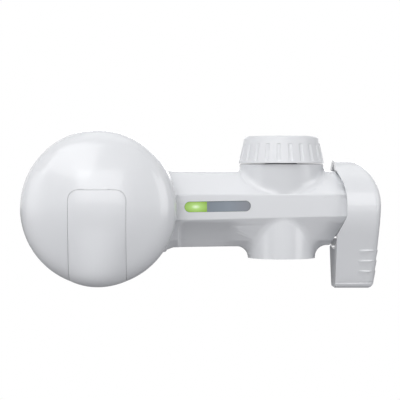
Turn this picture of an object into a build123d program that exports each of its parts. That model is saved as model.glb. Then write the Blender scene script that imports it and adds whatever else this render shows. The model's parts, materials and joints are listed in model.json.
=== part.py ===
from build123d import *
import os

os.makedirs("parts", exist_ok=True)

# Faucet mount water filter, in millimetres
# The origin is the middle of the collar's thread, on its axis.
# +X runs from the round filter to the lever, -Y faces the user, +Z is up.

# Clearances
running_gap = 0.05
part_gap = 0.1
seam_gap = 0.3
seat_play = 0.2
lap = 1.0

# Mounting collar, ribbed outside and threaded inside
thread_r = 11.9
thread_length = 7.4
relief_step = 0.5
collar_shoulder = 2.0
collar_top_r = 18.5
collar_foot_r = 21.3
collar_edge = 0.8
rib_count = 22
rib_groove_r = 1.5
rib_groove_depth = 0.55
rib_band_top = 3.7
rib_band_foot = 1.3
rib_foot_draft = 0.25

# Inlet stem, washer and screen
stem_r = 8.0
stem_bore_r = 5.5
stem_socket = 6.0
flange_r = 11.3
flange_t = 1.6
washer_t = 2.2
washer_bore_r = 7.0
screen_t = 0.6
screen_rim = 0.8
mesh_pitch = 2.9
mesh_bar = 1.0

# Arm: facets of its cross-section, measured from its own axis
arm_drop = 32.2
arm_top = 18.65
arm_top_half = 7.0
ridge_rise = 7.4
arm_half_depth = 17.2
band_half_depth = 17.0
band_drop_left = 5.7
band_drop_right = 3.4
chamfer_foot_half = 10.5
chamfer_foot_drop = 15.4
arm_floor_half = 5.5
arm_floor_left = 19.4
arm_floor_right = 18.0
arm_edge_radii = [7.0, 1.5, 0.9, 3.0, 3.0]
arm_wall = 2.2

# Right end of the arm, slanted below its front band and rounded above it
arm_end_x = 30.9
end_slant_drop = 3.4
end_slant_foot_x = 22.4
end_slant_foot_drop = 20.5
end_round_rise = 4.0
end_round_mid = (29.2, 13.0)
end_round_top = (26.3, 19.0)

# Neck under the collar: round above, drawn in to a tip below, and blended into the arm
neck_r = 20.9
neck_top = 22.2
neck_waist_rise = 16.0
neck_tip_r = 14.2
neck_tip_rise = 10.5
neck_round = 4.0
neck_blend = 3.0

# Skirt over the outlet, blended into the arm with a wide fillet
skirt_r = 16.7
skirt_drop = 24.6
skirt_blend = 6.0

# Flare where the arm meets the cup: places from the cover's edge, and how far out at each
flare_stations = [(-12.65, 6.5), (-7.25, 4.4), (-4.65, 1.1), (-1.65, 0)]
flare_floor = 21.4

# Diverter valve, along the arm's axis
spool_r = 8.0
spool_left_x = -10.0
spool_right_x = 22.0
sleeve_wall = 3.5
valve_tube_wall = 2.4
inlet_tube_wall = 4.0
port_r = 4.0
side_port_r = 3.0
spool_groove_depth = 2.6
spool_ring_r = 0.9
shaft_r = 5.0
shaft_square = 7.0
end_cap_t = 5.0

# Outlet insert in the skirt
outlet_r = 12.0
outlet_depth = 10.4
outlet_lip = 4.5
outlet_insert_t = 5.0
outlet_insert_wall = 2.0
outlet_insert_web = 1.2
outlet_hole_r = 1.1
outlet_hole_rings = [(3.4, 6), (6.8, 12)]

# Cover, a flattened dome that screws over the cup's neck
cover_r = 37.75
cover_wall = 2.4
cover_rim_gap = 1.5
cover_band = 5.0
cover_bulge = 18.0
cover_lip = 0.85
cover_play = 0.35
gasket_t = 1.1
gasket_inset = 0.35
seal_groove = 1.4
seal_groove_play = 0.4
seal_from_rim = 2.0
press_ring_r = 21.0
press_ring_t = 2.0

# Filter cup, about an axis along Y
filter_x = -90.1
filter_rise = 0.8
cup_flange_r = cover_r - cover_lip
cup_r = cup_flange_r - 1.7
cup_neck_r = cover_r - cover_wall - cover_play
cup_bore_r = cup_neck_r - 2.8
cup_shoulder_y = -18.6
cup_flange_t = 4.0
cup_neck_length = 8.0
cup_back_y = 38.0
cup_back_bulge = 11.0
cup_floor_y = 44.0
cup_floor_cone = 4.0
cup_flange_slope = 1.5
stub_r = 9.0
stub_reach = cup_r + 5.8
stub_socket = 3.6

# Tongue panel let into the cover
panel_width = 27.6
panel_rise = 9.0
panel_corner = 5.0
panel_t = 1.2

# Filtered water outlet, under the cup and behind the cover's rim
nozzle_y = -11.0
nozzle_boss_r = 7.0
nozzle_boss_reach = cup_r + 2.2
nozzle_r = 4.6
nozzle_bore_r = 3.4
nozzle_reach = cup_r + 3.2
nozzle_seat = cup_r - 1.2

# Cartridge
case_gap = 1.0
case_wall = 1.5
case_front_y = -24.6
cap_length = 22.0
cap_core_r = cup_bore_r - 4.7
cap_bore_r = 6.0
gallery_width = 9.0
gallery_hole_r = 2.0
seal_inset = 4.6
carbon_r = cup_bore_r - case_gap - case_wall - 2.7
carbon_bore_r = 8.0
carbon_margin = 1.0

# Feed tube between valve and cup
feed_r = 4.5
feed_bore_r = 3.0

# Filter life indicator
window_length = 32.4
window_height = 5.2
window_x = -32.4
window_rise = 1.3
window_tilt = 1.0
window_t = 1.4
window_recess = 0.35
lens_share = 0.34
board_y = -10.4
board_t = 1.2
board_half_height = 6.0
lamp_r = 1.5
battery_r = 10.0
battery_t = 3.2
clip_t = 0.4
clip_margin = 1.0
rib_t = 2.0
rib_bite = 0.7
rib_left_x = -52.0
rib_right_x = -14.0

# Rear cover of the indicator's compartment
hatch_top = 12.0
hatch_foot = 9.0
hatch_screw_rise = 2.0
hatch_corner = 2.0
screw_post_r = 3.0
screw_post_bite = 0.4
screw_post_front = 9.5
screw_r = 1.2
screw_head_r = 1.8
screw_head_t = 0.7
screw_seat_depth = 1.0
screw_length = 6.0

# Lever
lever_left_x = 25.9
lever_right_x = 49.5
lever_foot_x = 45.4
lever_top = 24.2
lever_foot = 39.2
lever_half_depth = 20.5
lever_waist = (17.3, -14.0)
lever_foot_half = 8.5
lever_foot_lean = 0.36
lever_crown_x = 30.0
lever_crown_rise = 2.0
lever_edge = 3.4
lever_socket_r = 19.8
lever_socket_gap = 0.4
notch_inset = 0.4
lever_screw_r = 2.0
lever_screw_head_r = 3.8
lever_screw_head_t = 2.4
lever_cap_r = 5.0
lever_cap_t = 2.4
lever_cap_sink = 0.5
lever_cap_play = 0.5
lever_web = 3.2

# Planes and axes worked out from these
half_root = 0.5**0.5
arm_z = -arm_drop
filter_z = arm_z + filter_rise
collar_top_z = thread_length / 2
thread_foot_z = -thread_length / 2
pocket_depth = washer_t + flange_t + seat_play
shoulder_z = thread_foot_z - pocket_depth
collar_foot_z = shoulder_z - collar_shoulder
sleeve_r = spool_r + running_gap + sleeve_wall
valve_tube_r = sleeve_r + part_gap + valve_tube_wall
sleeve_left_x = spool_left_x - sleeve_wall
cup_neck_y = cup_shoulder_y - cup_neck_length
cover_rim_y = cup_shoulder_y - cover_rim_gap
cover_dome_y = cover_rim_y - cover_band
cover_front_y = cover_dome_y - cover_bulge
neck_top_z = arm_z + neck_top
cup_plane = Plane(origin=(filter_x, 0, filter_z), x_dir=(1, 0, 0), z_dir=(0, 0, 1))
cup_axis = Axis((filter_x, 0, filter_z), (0, 1, 0))
arm_axis = Axis((0, 0, arm_z), (1, 0, 0))
cup_flange_foot_y = cup_shoulder_y + cup_flange_t + cup_flange_slope
cover_edge_x = filter_x + cover_r
arm_start_x = filter_x + (cup_r**2 - (arm_floor_left + filter_rise + lap) ** 2) ** 0.5
cap_foot_x = lever_right_x - lever_cap_sink - lever_cap_t
head_seat_x = cap_foot_x - lever_cap_play - lever_screw_head_t
shaft_reach = head_seat_x - lever_web - part_gap


# Shared forms
def disc_along_x(radius, x_from, x_to, y=0.0, z=arm_z):
    """A round bar that lies along X."""
    with BuildPart(mode=Mode.PRIVATE) as bar:
        with BuildSketch(Plane.YZ.offset(x_from)):
            with Locations((y, z)):
                Circle(radius)
        extrude(amount=x_to - x_from)
    return bar.part


def disc_along_y(radius, y_from, y_to, x=filter_x, z=filter_z):
    """A round bar that lies along Y."""
    with BuildPart(mode=Mode.PRIVATE) as bar:
        with BuildSketch(Plane(origin=(x, y_from, z), x_dir=(1, 0, 0), z_dir=(0, 1, 0))):
            Circle(radius)
        extrude(amount=y_to - y_from)
    return bar.part


def disc_along_z(radius, z_from, z_to, x=0.0, y=0.0):
    """A round bar that stands along Z."""
    with BuildPart(mode=Mode.PRIVATE) as bar:
        with BuildSketch(Plane.XY.offset(z_from)):
            with Locations((x, y)):
                Circle(radius)
        extrude(amount=z_to - z_from)
    return bar.part


def arm_section(x, inset):
    """The faceted cross-section of the arm at one station along it."""
    share = (x - arm_start_x) / (arm_end_x - arm_start_x)
    band_drop = band_drop_left + (band_drop_right - band_drop_left) * share
    floor_drop = arm_floor_left + (arm_floor_right - arm_floor_left) * share
    front = [
        (-arm_top_half, arm_top),
        (-arm_half_depth, ridge_rise),
        (-band_half_depth, -band_drop),
        (-chamfer_foot_half, -chamfer_foot_drop),
        (-arm_floor_half, -floor_drop),
    ]
    outline = [(y, arm_z + z) for y, z in front]
    back = [(-y, z) for y, z in reversed(outline)]
    with BuildSketch(Plane.YZ.offset(x), mode=Mode.PRIVATE) as section:
        with BuildLine():
            radii = arm_edge_radii + list(reversed(arm_edge_radii))
            FilletPolyline(*outline, *back, radius=radii, close=True)
        make_face()
        if inset != 0:
            offset(amount=-inset)
    return section.sketch


def arm_form(inset, x_from, x_to):
    """The arm's solid form between two stations, drawn in by an inset."""
    with BuildPart(mode=Mode.PRIVATE) as form:
        loft(sections=[arm_section(x_from, inset), arm_section(x_to, inset)], ruled=True)
    return form.part


def blended(body, boss, radius):
    """A body with a boss joined to it, and a fillet all along the seam between the two."""
    joined = body + boss
    return joined.fillet(radius, new_edges(body, boss, combined=joined))


def neck_form():
    """The turned neck: a cylinder whose lower end draws in to its tip inside the arm."""
    with BuildPart(mode=Mode.PRIVATE) as neck:
        with BuildSketch(Plane.XZ):
            with BuildLine():
                waist = (neck_r, arm_z + neck_waist_rise)
                tip = (neck_tip_r, arm_z + neck_tip_rise)
                FilletPolyline((neck_r, arm_z + neck_top), waist, tip, radius=neck_round)
                Polyline(tip, (0, tip[1]), (0, arm_z + neck_top), (neck_r, arm_z + neck_top))
            make_face()
        revolve(axis=Axis.Z)
    return neck.part


def flare_form():
    """The arm's flare at the cup, no deeper than the arm and flat underneath."""
    stations = [(cover_edge_x + along, out) for along, out in flare_stations]
    with BuildPart(mode=Mode.PRIVATE) as flare:
        loft(sections=[arm_section(x, -out) for x, out in stations], ruled=True)
        with BuildSketch(Plane.XZ.offset(-arm_half_depth)):
            with Locations((cover_edge_x, arm_z - flare_floor)):
                Rectangle(cover_r, 2 * cover_r, align=(Align.CENTER, Align.MIN))
        extrude(amount=2 * arm_half_depth, mode=Mode.INTERSECT)
    return flare.part


def arm_outside():
    """The arm's whole outer form: faceted bar, flare, neck and skirt."""
    form = arm_form(0, cover_edge_x + flare_stations[-1][0], arm_end_x) + flare_form()
    form = blended(form, disc_along_z(skirt_r, arm_z - skirt_drop, arm_z), skirt_blend)
    return blended(form, neck_form(), neck_blend)


def end_outline(shift):
    """The space to the right of the arm's end, seen from the front."""
    with BuildPart(mode=Mode.PRIVATE) as space:
        with BuildSketch(Plane.XZ.offset(-cup_r)):
            with BuildLine():
                foot = (end_slant_foot_x + shift, arm_z - end_slant_foot_drop)
                knee = (arm_end_x + shift, arm_z - end_slant_drop)
                hip = (arm_end_x + shift, arm_z + end_round_rise)
                mid = (end_round_mid[0] + shift, arm_z + end_round_mid[1])
                top = (end_round_top[0] + shift, arm_z + end_round_top[1])
                far_x = lever_right_x + lever_half_depth
                Line(foot, knee)
                Line(knee, hip)
                ThreePointArc(hip, mid, top)
                Polyline(top, (top[0], arm_z + lever_foot), (far_x, arm_z + lever_foot))
                Polyline((far_x, arm_z + lever_foot), (far_x, foot[1]), foot)
            make_face()
        extrude(amount=2 * cup_r)
    return space.part


def dome_form(inset):
    """The cover's outer form, drawn in by an inset and open to the rear."""
    radius = cover_r - inset
    front_y = cover_front_y + inset
    shoulder = (radius * half_root, cover_dome_y + (front_y - cover_dome_y) * half_root)
    with BuildPart(mode=Mode.PRIVATE) as dome:
        with BuildSketch(cup_plane):
            with BuildLine():
                Spline((radius, cover_dome_y), shoulder, (0, front_y), tangents=[(0, -1), (-1, 0)])
                Polyline((0, front_y), (0, cover_rim_y), (radius, cover_rim_y), (radius, cover_dome_y))
            make_face()
        revolve(axis=cup_axis)
    return dome.part


def lever_form():
    """The lever's form: its side outline cut to its front outline, with its outer edges rounded."""
    foot_z = arm_z - lever_foot
    top_z = arm_z + lever_top
    hip_z = arm_z + lever_crown_rise
    with BuildPart(mode=Mode.PRIVATE) as lever:
        with BuildSketch(Plane.YZ.offset(lever_left_x)):
            with BuildLine():
                EllipticalCenterArc((0, arm_z), lever_half_depth, lever_top, start_angle=0, arc_size=180)
                for side in (1, -1):
                    joint = (side * lever_half_depth, arm_z)
                    waist = (side * lever_waist[0], arm_z + lever_waist[1])
                    foot = (side * lever_foot_half, foot_z)
                    Spline(joint, waist, foot, tangents=[(0, -1), (-side * lever_foot_lean, -1)])
                Line((lever_foot_half, foot_z), (-lever_foot_half, foot_z))
            make_face()
        extrude(amount=lever_right_x - lever_left_x)
        with BuildSketch(Plane.XZ.offset(-lever_half_depth)):
            with BuildLine():
                crown_width = lever_right_x - lever_crown_x
                EllipticalCenterArc(
                    (lever_crown_x, hip_z), crown_width, top_z - hip_z, start_angle=0, arc_size=90
                )
                Polyline((lever_right_x, hip_z), (lever_foot_x, foot_z), (lever_left_x, foot_z))
                Polyline((lever_left_x, foot_z), (lever_left_x, top_z), (lever_crown_x, top_z))
            make_face()
        extrude(amount=2 * lever_half_depth, mode=Mode.INTERSECT)
        rounded = lever.edges().filter_by(lambda e: e.center().X > lever_crown_x and e.length > lever_edge)
        fillet(rounded, lever_edge)
    return lever.part


# Mounting collar
with BuildPart() as mounting_collar:
    with BuildSketch(Plane.XZ):
        with BuildLine():
            foot_r = collar_foot_r
            Polyline(
                (stem_r + running_gap, collar_foot_z), (foot_r, collar_foot_z),
                (foot_r - rib_foot_draft, collar_foot_z + rib_band_foot), (collar_top_r, collar_top_z - collar_edge),
                (collar_top_r - collar_edge, collar_top_z), (thread_r, collar_top_z),
                (thread_r, thread_foot_z), (thread_r + relief_step, thread_foot_z),
                (thread_r + relief_step, shoulder_z), (stem_r + running_gap, shoulder_z), close=True
            )
        make_face()
    revolve(axis=Axis.Z)
    groove_top_z = collar_top_z - rib_band_top
    groove_foot_z = collar_foot_z + rib_band_foot
    slope = (foot_r - collar_top_r) / (collar_top_z - collar_foot_z)
    for number in range(rib_count):
        angle = number * 360 / rib_count
        spot = Vector(1, 0, 0).rotate(Axis.Z, angle)
        low_r = foot_r - slope * rib_band_foot + rib_groove_r - rib_groove_depth
        high_r = foot_r - slope * (groove_top_z - collar_foot_z) + rib_groove_r - rib_groove_depth
        low = spot * low_r + Vector(0, 0, groove_foot_z)
        high = spot * high_r + Vector(0, 0, groove_top_z)
        add(Solid.make_cylinder(rib_groove_r, (high - low).length, Plane(low, z_dir=high - low)), mode=Mode.SUBTRACT)

# Inlet stem: a flanged tube that the collar's shoulder lifts
flange_foot_z = shoulder_z + part_gap
flange_top_z = flange_foot_z + flange_t
stem_foot_z = neck_top_z - stem_socket
with BuildPart() as inlet_stem:
    add(disc_along_z(stem_r, stem_foot_z, flange_foot_z))
    add(disc_along_z(flange_r, flange_foot_z, flange_top_z))
    add(disc_along_z(stem_bore_r, stem_foot_z, flange_top_z), mode=Mode.SUBTRACT)
    add(disc_along_z(washer_bore_r, flange_top_z - screen_t, flange_top_z), mode=Mode.SUBTRACT)


def mesh_disc(radius, z_from):
    """A round screen: square holes inside a solid rim."""
    count = int(2 * radius / mesh_pitch) + 1
    hole = mesh_pitch - mesh_bar
    with BuildPart(mode=Mode.PRIVATE) as holes:
        with BuildSketch(Plane.XY.offset(z_from)):
            with GridLocations(mesh_pitch, mesh_pitch, count, count):
                Rectangle(hole, hole)
            Circle(radius - screen_rim, mode=Mode.INTERSECT)
        extrude(amount=screen_t)
    return disc_along_z(radius, z_from, z_from + screen_t) - holes.part


with BuildPart() as inlet_screen:
    add(mesh_disc(washer_bore_r - part_gap, flange_top_z - screen_t))

with BuildPart() as inlet_washer:
    add(disc_along_z(flange_r, flange_top_z, flange_top_z + washer_t))
    add(disc_along_z(stem_bore_r, flange_top_z, flange_top_z + washer_t), mode=Mode.SUBTRACT)

# Arm shell: faceted arm, neck, skirt, and the tubes moulded inside them
hatch_left_x = rib_left_x + rib_t + part_gap
hatch_right_x = rib_right_x - rib_t - part_gap
post_left_x = rib_left_x + rib_t + screw_post_r - screw_post_bite
post_right_x = rib_right_x - rib_t - screw_post_r + screw_post_bite
post_back_y = band_half_depth - arm_wall - part_gap
hatch_screw_z = arm_z + hatch_screw_rise
screw_seat_y = arm_half_depth - screw_seat_depth
inlet_tube_r = stem_r + inlet_tube_wall
outlet_tube_r = outlet_r + arm_wall


def hatch_prism(gap):
    """The opening in the arm's back, seen from behind, over the full depth of the rear half."""
    with BuildPart(mode=Mode.PRIVATE) as prism:
        with BuildSketch(Plane.XZ.offset(-arm_half_depth - 1)):
            with BuildLine():
                FilletPolyline(
                    (hatch_left_x + gap, arm_z - hatch_foot + gap), (hatch_right_x - gap, arm_z - hatch_foot + gap),
                    (hatch_right_x - gap, arm_z + hatch_top - gap), (hatch_left_x + gap, arm_z + hatch_top - gap),
                    radius=hatch_corner, close=True
                )
            make_face()
        extrude(amount=arm_half_depth)
    return prism.part


def window_slot(gap, y_from, y_to):
    """The lozenge of the indicator, seen from the front."""
    with BuildPart(mode=Mode.PRIVATE) as slot:
        with BuildSketch(Plane.XZ.offset(-y_from)):
            with Locations((window_x, arm_z + window_rise)):
                SlotOverall(window_length - 2 * gap, window_height - 2 * gap, rotation=window_tilt)
        extrude(amount=y_from - y_to)
    return slot.part


with BuildPart() as arm_shell:
    add(arm_outside())
    add(end_outline(0), mode=Mode.SUBTRACT)
    add(arm_form(arm_wall, arm_start_x - lap, arm_end_x - arm_wall), mode=Mode.SUBTRACT)
    add(disc_along_y(cup_flange_r + part_gap, -cup_flange_r, cup_flange_foot_y), mode=Mode.SUBTRACT)
    add(disc_along_y(cup_r + part_gap, cup_flange_foot_y, cup_flange_r), mode=Mode.SUBTRACT)
    for rib_x in (rib_left_x, rib_right_x - rib_t):
        add(arm_form(arm_wall - rib_bite, rib_x, rib_x + rib_t))
    add(disc_along_x(valve_tube_r, rib_right_x - rib_t, arm_end_x - arm_wall))
    add(disc_along_z(inlet_tube_r, arm_z, neck_top_z - 1))
    add(disc_along_z(outlet_tube_r, arm_z - skirt_drop + 1, arm_z))
    add(disc_along_x(sleeve_r + part_gap, sleeve_left_x - part_gap, arm_end_x + 1), mode=Mode.SUBTRACT)
    add(disc_along_x(feed_r + part_gap, rib_left_x - 1, sleeve_left_x), mode=Mode.SUBTRACT)
    add(disc_along_x(stub_r + part_gap, rib_left_x - 1, rib_left_x + rib_t + 1), mode=Mode.SUBTRACT)
    add(disc_along_z(stem_r + part_gap, stem_foot_z, neck_top_z), mode=Mode.SUBTRACT)
    add(disc_along_z(port_r, arm_z, stem_foot_z), mode=Mode.SUBTRACT)
    add(disc_along_z(port_r, arm_z - skirt_drop, arm_z), mode=Mode.SUBTRACT)
    add(disc_along_z(outlet_r, arm_z - skirt_drop, arm_z - skirt_drop + outlet_depth), mode=Mode.SUBTRACT)
    add(window_slot(0, -arm_half_depth - 1, -arm_half_depth + arm_wall + 1), mode=Mode.SUBTRACT)
    add(hatch_prism(0), mode=Mode.SUBTRACT)
    for post_x in (post_left_x, post_right_x):
        add(disc_along_y(screw_post_r, screw_post_front, post_back_y, post_x, hatch_screw_z))
        add(
            disc_along_y(screw_r, screw_post_front, post_back_y, post_x, hatch_screw_z),
            mode=Mode.SUBTRACT
        )

# Rear cover and its screws
with BuildPart() as arm_back_cover:
    add(arm_form(0, hatch_left_x, hatch_right_x))
    add(hatch_prism(part_gap), mode=Mode.INTERSECT)
    add(arm_form(arm_wall, hatch_left_x, hatch_right_x), mode=Mode.SUBTRACT)
    for post_x in (post_left_x, post_right_x):
        hole = disc_along_y(screw_r + part_gap, 0, screw_seat_y, post_x, hatch_screw_z)
        seat = disc_along_y(screw_head_r + part_gap, screw_seat_y, arm_half_depth + lap, post_x, hatch_screw_z)
        add(hole + seat, mode=Mode.SUBTRACT)

with BuildPart() as back_cover_screws:
    for post_x in (post_left_x, post_right_x):
        shank_r = screw_r - part_gap / 2
        add(disc_along_y(screw_head_r, screw_seat_y, screw_seat_y + screw_head_t, post_x, hatch_screw_z))
        add(disc_along_y(shank_r, screw_seat_y - screw_length, screw_seat_y, post_x, hatch_screw_z))

# Indicator: window, green lens, lamps, board, battery and its clip
window_face_y = -band_half_depth + window_recess
lens_end_x = window_x - window_length / 2 + window_length * lens_share


def window_half(x_from, x_to):
    """The part of the window between two places along the arm."""
    with BuildPart(mode=Mode.PRIVATE) as piece:
        add(window_slot(part_gap, window_face_y, window_face_y + window_t))
        with BuildSketch(Plane.XZ.offset(arm_half_depth)):
            with Locations(((x_from + x_to) / 2, arm_z + window_rise)):
                Rectangle(x_to - x_from, 3 * window_height)
        extrude(amount=-arm_half_depth, mode=Mode.INTERSECT)
    return piece.part


with BuildPart() as green_lens:
    add(window_half(window_x - window_length, lens_end_x))

with BuildPart() as indicator_window:
    add(window_half(lens_end_x, window_x + window_length))

board_half = (rib_right_x - rib_left_x) / 2 - rib_t - part_gap
board_x = (rib_right_x + rib_left_x) / 2
with BuildPart() as circuit_board:
    with BuildSketch(Plane.XZ.offset(-board_y)):
        with Locations((board_x, arm_z + window_rise)):
            Rectangle(2 * board_half, 2 * board_half_height)
    extrude(amount=-board_t)

lamp_front_y = window_face_y + window_t + seam_gap
with BuildPart() as indicator_lamps:
    for third in (-1, 0, 1):
        lamp_x = window_x + third * window_length / 3
        lamp_z = arm_z + window_rise
        add(disc_along_y(lamp_r, lamp_front_y, board_y, lamp_x, lamp_z))

battery_y = board_y + board_t
with BuildPart() as coin_battery:
    add(disc_along_y(battery_r, battery_y, battery_y + battery_t, board_x, arm_z))

with BuildPart() as battery_clip:
    with BuildSketch(Plane.XY.offset(arm_z - board_half_height / 2)):
        clip_reach = battery_r + clip_margin
        with Locations((board_x, battery_y)):
            Rectangle(2 * clip_reach, battery_t + clip_t, align=(Align.CENTER, Align.MIN))
            Rectangle(
                2 * (clip_reach - clip_t), battery_t, align=(Align.CENTER, Align.MIN), mode=Mode.SUBTRACT
            )
    extrude(amount=board_half_height)

# Feed tube from the valve's side port to the cup's stub
feed_left_x = filter_x + stub_reach - stub_socket + part_gap
with BuildPart() as feed_tube:
    add(disc_along_x(feed_r, feed_left_x, sleeve_left_x - part_gap))
    add(disc_along_x(feed_bore_r, feed_left_x, sleeve_left_x - part_gap), mode=Mode.SUBTRACT)

# Diverter valve: fixed sleeve, turning spool, its rings and the end cap
sleeve_right_x = spool_right_x + end_cap_t
with BuildPart() as valve_sleeve:
    add(disc_along_x(sleeve_r, sleeve_left_x, sleeve_right_x))
    add(disc_along_x(spool_r + running_gap, spool_left_x - part_gap, sleeve_right_x), mode=Mode.SUBTRACT)
    add(disc_along_x(side_port_r, sleeve_left_x, spool_left_x), mode=Mode.SUBTRACT)
    add(disc_along_z(port_r, arm_z - sleeve_r, arm_z + sleeve_r), mode=Mode.SUBTRACT)

ring_places = (spool_left_x + 2.5, -spool_left_x + 1.0)
with BuildPart() as diverter_spool:
    add(disc_along_x(spool_r, spool_left_x, spool_right_x))
    add(disc_along_x(shaft_r, spool_right_x, arm_end_x))
    with BuildSketch(Plane.YZ.offset(arm_end_x)):
        with Locations((0, arm_z)):
            Rectangle(shaft_square, shaft_square)
    extrude(amount=shaft_reach - arm_end_x)
    add(disc_along_x(side_port_r, spool_left_x, 0), mode=Mode.SUBTRACT)
    add(disc_along_z(side_port_r, arm_z, arm_z + spool_r), mode=Mode.SUBTRACT)
    with BuildSketch(Plane.YZ.offset(-port_r)):
        with Locations((0, arm_z - spool_r)):
            Rectangle(2 * spool_r, 2 * spool_groove_depth)
    extrude(amount=2 * port_r, mode=Mode.SUBTRACT)
    for ring_x in ring_places:
        with BuildSketch(Plane.XZ):
            with Locations((ring_x, arm_z + spool_r - spool_ring_r)):
                Rectangle(2.6 * spool_ring_r, 2 * spool_ring_r + part_gap)
        revolve(axis=arm_axis, mode=Mode.SUBTRACT)
    add(disc_along_x(lever_screw_r - part_gap, spool_right_x, shaft_reach), mode=Mode.SUBTRACT)

with BuildPart() as spool_o_rings:
    for ring_x in ring_places:
        with BuildSketch(Plane.XZ):
            with Locations((ring_x, arm_z + spool_r + running_gap / 2 - spool_ring_r)):
                Circle(spool_ring_r)
        revolve(axis=arm_axis)

with BuildPart() as valve_end_cap:
    add(disc_along_x(spool_r, spool_right_x + part_gap, sleeve_right_x))
    add(disc_along_x(sleeve_r, sleeve_right_x, arm_end_x - part_gap))
    add(disc_along_x(shaft_r + running_gap, spool_right_x, arm_end_x), mode=Mode.SUBTRACT)

# Outlet insert and its screen, in the skirt
insert_foot_z = arm_z - skirt_drop + outlet_lip
insert_top_z = insert_foot_z + outlet_insert_t
insert_bore_r = outlet_r - outlet_insert_wall
with BuildPart() as outlet_insert:
    add(disc_along_z(outlet_r - part_gap, insert_foot_z, insert_top_z))
    add(disc_along_z(insert_bore_r, insert_foot_z + outlet_insert_web, insert_top_z), mode=Mode.SUBTRACT)
    with BuildSketch(Plane.XY.offset(insert_foot_z)):
        Circle(outlet_hole_r)
        for ring_r, hole_count in outlet_hole_rings:
            with PolarLocations(ring_r, hole_count):
                Circle(outlet_hole_r)
    extrude(amount=outlet_insert_t, mode=Mode.SUBTRACT)

with BuildPart() as outlet_screen:
    add(mesh_disc(outlet_r - part_gap, insert_top_z + part_gap))

# Filter cup with its side stub
with BuildPart() as filter_housing:
    with BuildSketch(cup_plane):
        with BuildLine():
            flange_back_y = cup_flange_foot_y - cup_flange_slope
            Polyline(
                (0, cup_floor_y), (cup_bore_r, cup_floor_y - cup_floor_cone), (cup_bore_r, cup_neck_y),
                (cup_neck_r, cup_neck_y), (cup_neck_r, cup_shoulder_y), (cup_flange_r, cup_shoulder_y),
                (cup_flange_r, flange_back_y), (cup_r, cup_flange_foot_y), (cup_r, cup_back_y)
            )
            corner = (cup_r - cup_back_bulge * (1 - half_root), cup_back_y + cup_back_bulge * half_root)
            back_edge = (cup_r - cup_back_bulge, cup_back_y + cup_back_bulge)
            ThreePointArc((cup_r, cup_back_y), corner, back_edge)
            Polyline(back_edge, (0, back_edge[1]), (0, cup_floor_y))
        make_face()
    revolve(axis=cup_axis)
    stub_end_x = filter_x + stub_reach
    add(disc_along_x(stub_r, filter_x + cup_bore_r + lap, stub_end_x))
    add(disc_along_x(feed_r + part_gap, stub_end_x - stub_socket, stub_end_x), mode=Mode.SUBTRACT)
    add(disc_along_x(feed_bore_r, filter_x, stub_end_x), mode=Mode.SUBTRACT)
    nozzle_foot_z = filter_z - nozzle_reach
    nozzle_top_z = filter_z - nozzle_seat
    boss_foot_z = filter_z - nozzle_boss_reach
    add(disc_along_z(nozzle_boss_r, boss_foot_z, filter_z - cup_bore_r - lap, filter_x, nozzle_y))
    socket = disc_along_z(nozzle_r + part_gap, nozzle_foot_z, nozzle_top_z, filter_x, nozzle_y)
    port = disc_along_z(nozzle_bore_r, nozzle_foot_z, filter_z - cup_bore_r / 2, filter_x, nozzle_y)
    add(socket + port, mode=Mode.SUBTRACT)
    housing_seal_y = cup_neck_y + seal_from_rim
    with BuildSketch(cup_plane):
        with Locations((cup_neck_r, housing_seal_y)):
            Rectangle(2 * seal_groove, seal_groove + seal_groove_play)
    revolve(axis=cup_axis, mode=Mode.SUBTRACT)

with BuildPart() as housing_seal:
    with BuildSketch(cup_plane):
        with Locations((cup_neck_r - seal_groove / 2 + part_gap, housing_seal_y)):
            Circle(seal_groove / 2)
    revolve(axis=cup_axis)

# Rim gasket between the cup's shoulder and the cover
bore_gap = cover_r - cover_wall - cup_neck_r
with BuildPart() as rim_gasket:
    gasket_y = cup_shoulder_y - (cover_rim_gap - gasket_t) / 2
    add(disc_along_y(cover_r - gasket_inset, gasket_y - gasket_t, gasket_y))
    add(disc_along_y(cup_neck_r + bore_gap, gasket_y - gasket_t, gasket_y), mode=Mode.SUBTRACT)


# Cover, tongue panel and nozzle
def tongue_prism(gap):
    """The tongue's outline seen from the front, from its rounded top down past the rim."""
    half = panel_width / 2 - gap
    with BuildPart(mode=Mode.PRIVATE) as prism:
        with BuildSketch(Plane.XZ.offset(-cover_rim_y + cover_band / 2)):
            with BuildLine():
                top_z = filter_z + panel_rise - gap
                low_z = filter_z - cover_r - 1
                FilletPolyline(
                    (filter_x - half, low_z), (filter_x - half, top_z), (filter_x + half, top_z),
                    (filter_x + half, low_z), radius=panel_corner - gap
                )
                Line((filter_x + half, low_z), (filter_x - half, low_z))
            make_face()
        extrude(amount=cover_bulge + cover_band)
    return prism.part


press_ring_y = case_front_y - seat_play
with BuildPart() as filter_cover:
    add(dome_form(0))
    add(dome_form(cover_wall), mode=Mode.SUBTRACT)
    press_ring = disc_along_y(press_ring_r, cover_front_y, press_ring_y)
    press_ring -= disc_along_y(press_ring_r - press_ring_t, cover_front_y, press_ring_y)
    add(press_ring & dome_form(cover_wall / 2))
    add(tongue_prism(0) - dome_form(panel_t + part_gap), mode=Mode.SUBTRACT)

with BuildPart() as cover_panel:
    add(dome_form(0))
    add(dome_form(panel_t), mode=Mode.SUBTRACT)
    add(tongue_prism(seam_gap / 2), mode=Mode.INTERSECT)

with BuildPart() as outlet_nozzle:
    add(disc_along_z(nozzle_r, nozzle_foot_z, nozzle_top_z, filter_x, nozzle_y))
    add(disc_along_z(nozzle_bore_r, nozzle_foot_z, nozzle_top_z, filter_x, nozzle_y), mode=Mode.SUBTRACT)

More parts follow.
